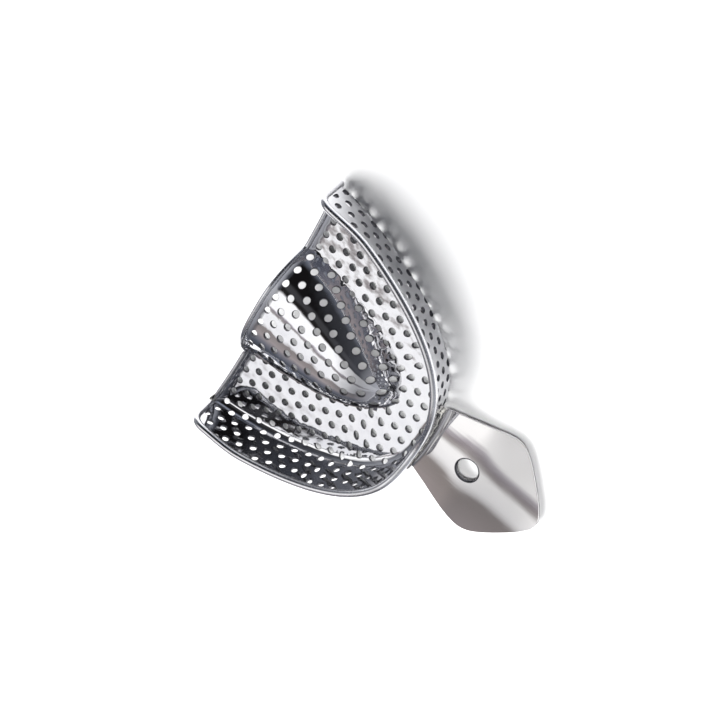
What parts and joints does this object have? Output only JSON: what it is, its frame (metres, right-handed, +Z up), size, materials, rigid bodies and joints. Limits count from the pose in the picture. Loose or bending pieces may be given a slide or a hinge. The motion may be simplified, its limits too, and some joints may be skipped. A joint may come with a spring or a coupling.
{
  "type": "dental impression tray",
  "caption": "Perforated metal impression tray for an upper jaw, with a wired rim and a flat stamped handle with a hole.",
  "frame": {"origin": "on the ground, under the middle of the whole object's box", "axes": "+Z up, out of the trough's open side; -Y towards the handle's tip; +X to the right seen from the handle, looking at the tray"},
  "size_m": [0.0716, 0.0806, 0.0132],
  "materials": {
    "perforated_stainless_steel": "mirror-polished pressed perforated sheet",
    "stainless_wire": "mirror-polished drawn wire",
    "polished_handle_steel": "mirror-polished stamped sheet",
    "silver_solder": "satin silver solder"
  },
  "bodies": {
    "root": {"perforated_pan": "perforated_stainless_steel", "rim_wire": "stainless_wire", "back_wire": "stainless_wire", "heel_solder_right": "silver_solder", "heel_solder_left": "silver_solder", "handle": "polished_handle_steel", "handle_solder_seam": "silver_solder"}
  },
  "joints": []
}
